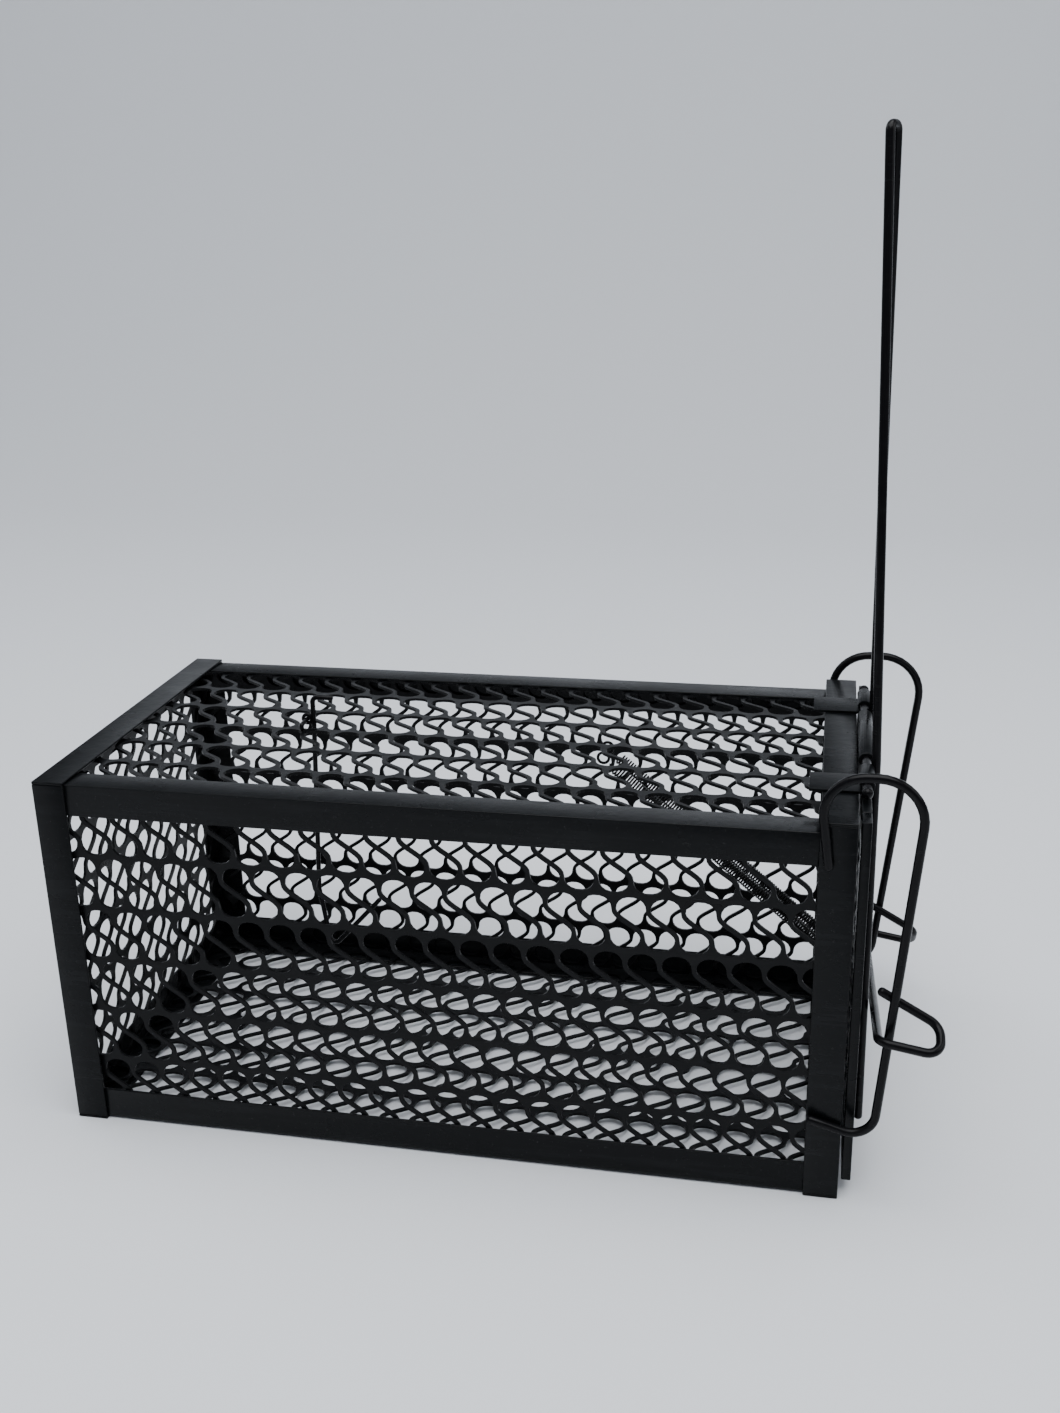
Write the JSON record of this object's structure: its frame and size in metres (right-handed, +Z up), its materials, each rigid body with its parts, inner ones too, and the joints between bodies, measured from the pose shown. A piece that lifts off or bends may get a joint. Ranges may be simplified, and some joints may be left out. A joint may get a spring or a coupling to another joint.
{
  "type": "live catch trap",
  "caption": "Box cage trap of bent sheet angles and expanded mesh with a top-hinged mesh door, long wire lever, gravity lock bar on wire guides, closing springs and a bait trigger.",
  "frame": {"origin": "middle of the whole trap's footprint, on the surface it stands on", "axes": "+X from the closed rear end to the door, +Y from the near side to the far side, +Z up"},
  "size_m": [0.294, 0.1523, 0.3257],
  "materials": {
    "sheet_enamel": "glossy black dip enamel on folded sheet",
    "mesh_enamel": "satin black enamel on expanded mesh",
    "wire_enamel": "glossy black enamel on bent wire",
    "spring_wire": "blackened coiled spring wire"
  },
  "bodies": {
    "cage": {"rear_post_near": "sheet_enamel", "rear_post_far": "sheet_enamel", "rear_top_bar": "sheet_enamel", "rear_bottom_bar": "sheet_enamel", "front_post_near": "sheet_enamel", "front_post_far": "sheet_enamel", "front_top_bar": "sheet_enamel", "front_sill": "sheet_enamel", "top_rail_near": "sheet_enamel", "top_rail_far": "sheet_enamel", "bottom_rail_near": "sheet_enamel", "bottom_rail_far": "sheet_enamel", "mesh_near": "mesh_enamel", "mesh_far": "mesh_enamel", "mesh_top": "mesh_enamel", "mesh_bottom": "mesh_enamel", "mesh_rear": "mesh_enamel", "hinge_strap_near": "sheet_enamel", "hinge_strap_far": "sheet_enamel", "guide_near": "wire_enamel", "guide_far": "wire_enamel", "spring_anchors": "wire_enamel", "trigger_pivot": "wire_enamel", "spring_near": "spring_wire", "spring_far": "spring_wire"},
    "door": {"door_edge_near": "sheet_enamel", "door_edge_far": "sheet_enamel", "door_edge_top": "sheet_enamel", "door_edge_bottom": "sheet_enamel", "door_mesh": "mesh_enamel", "hinge_rod": "wire_enamel", "lever": "wire_enamel", "door_spring_eyes": "wire_enamel"},
    "lock_bar": {"lock_bar": "wire_enamel"},
    "trigger": {"trigger": "wire_enamel"}
  },
  "joints": [
    {"name": "door_hinge", "type": "hinge", "parent": "cage", "child": "door", "pos_m": [0.12045, 0, 0.13416], "axis": [0, -1, 0], "range_deg": [0, 90], "stiffness_Nm_per_rad": 0.02, "deforming": ["spring_near", "spring_far"]},
    {"name": "lock_bar_lift", "type": "slide", "parent": "cage", "child": "lock_bar", "axis": [0.0828, 0, 0.9966], "range_m": [0, 0.066]},
    {"name": "trigger_pivot", "type": "hinge", "parent": "cage", "child": "trigger", "pos_m": [-0.07655, 0.0033, 0.1292], "axis": [0, -1, 0], "range_deg": [0, 25]}
  ]
}
